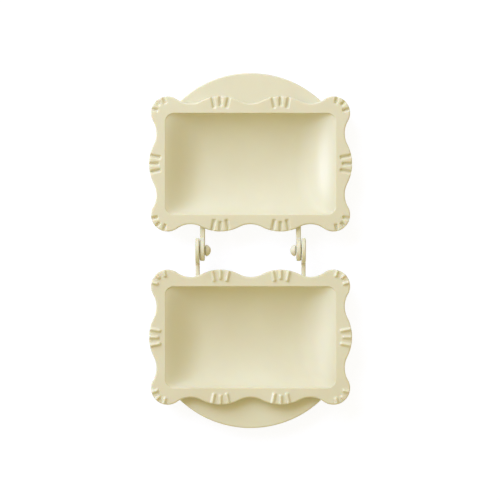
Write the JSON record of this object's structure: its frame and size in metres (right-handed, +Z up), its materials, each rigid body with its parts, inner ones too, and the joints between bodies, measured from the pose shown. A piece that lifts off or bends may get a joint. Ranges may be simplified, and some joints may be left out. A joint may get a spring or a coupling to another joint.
{
  "type": "empanada press",
  "caption": "Hinged hand press for filled pastry: two wavy-rimmed rectangular moulds with crimping marks, dough-cutting skirts and finger tabs, lying open.",
  "frame": {"origin": "on the table plane, under the middle of the hinge axis, with the press lying open and flat", "axes": "+X along the hinge, +Y from the hinge towards the lid half (the one with grooves), +Z up out of the pockets"},
  "size_m": [0.122, 0.214, 0.0249],
  "materials": {
    "mould_plastic": "satin moulded cream plastic",
    "frame_plastic": "satin moulded cream plastic",
    "pin_plastic": "satin moulded cream plastic"
  },
  "bodies": {
    "base": {"base_mould": "mould_plastic", "base_frame": "frame_plastic", "hinge_pin_left": "pin_plastic", "hinge_pin_right": "pin_plastic"},
    "lid": {"lid_mould": "mould_plastic", "lid_frame": "frame_plastic"}
  },
  "joints": [
    {"name": "lid_hinge", "type": "hinge", "parent": "base", "child": "lid", "pos_m": [0, 0, 0.0174], "axis": [1, 0, 0], "range_deg": [0, 180]}
  ]
}
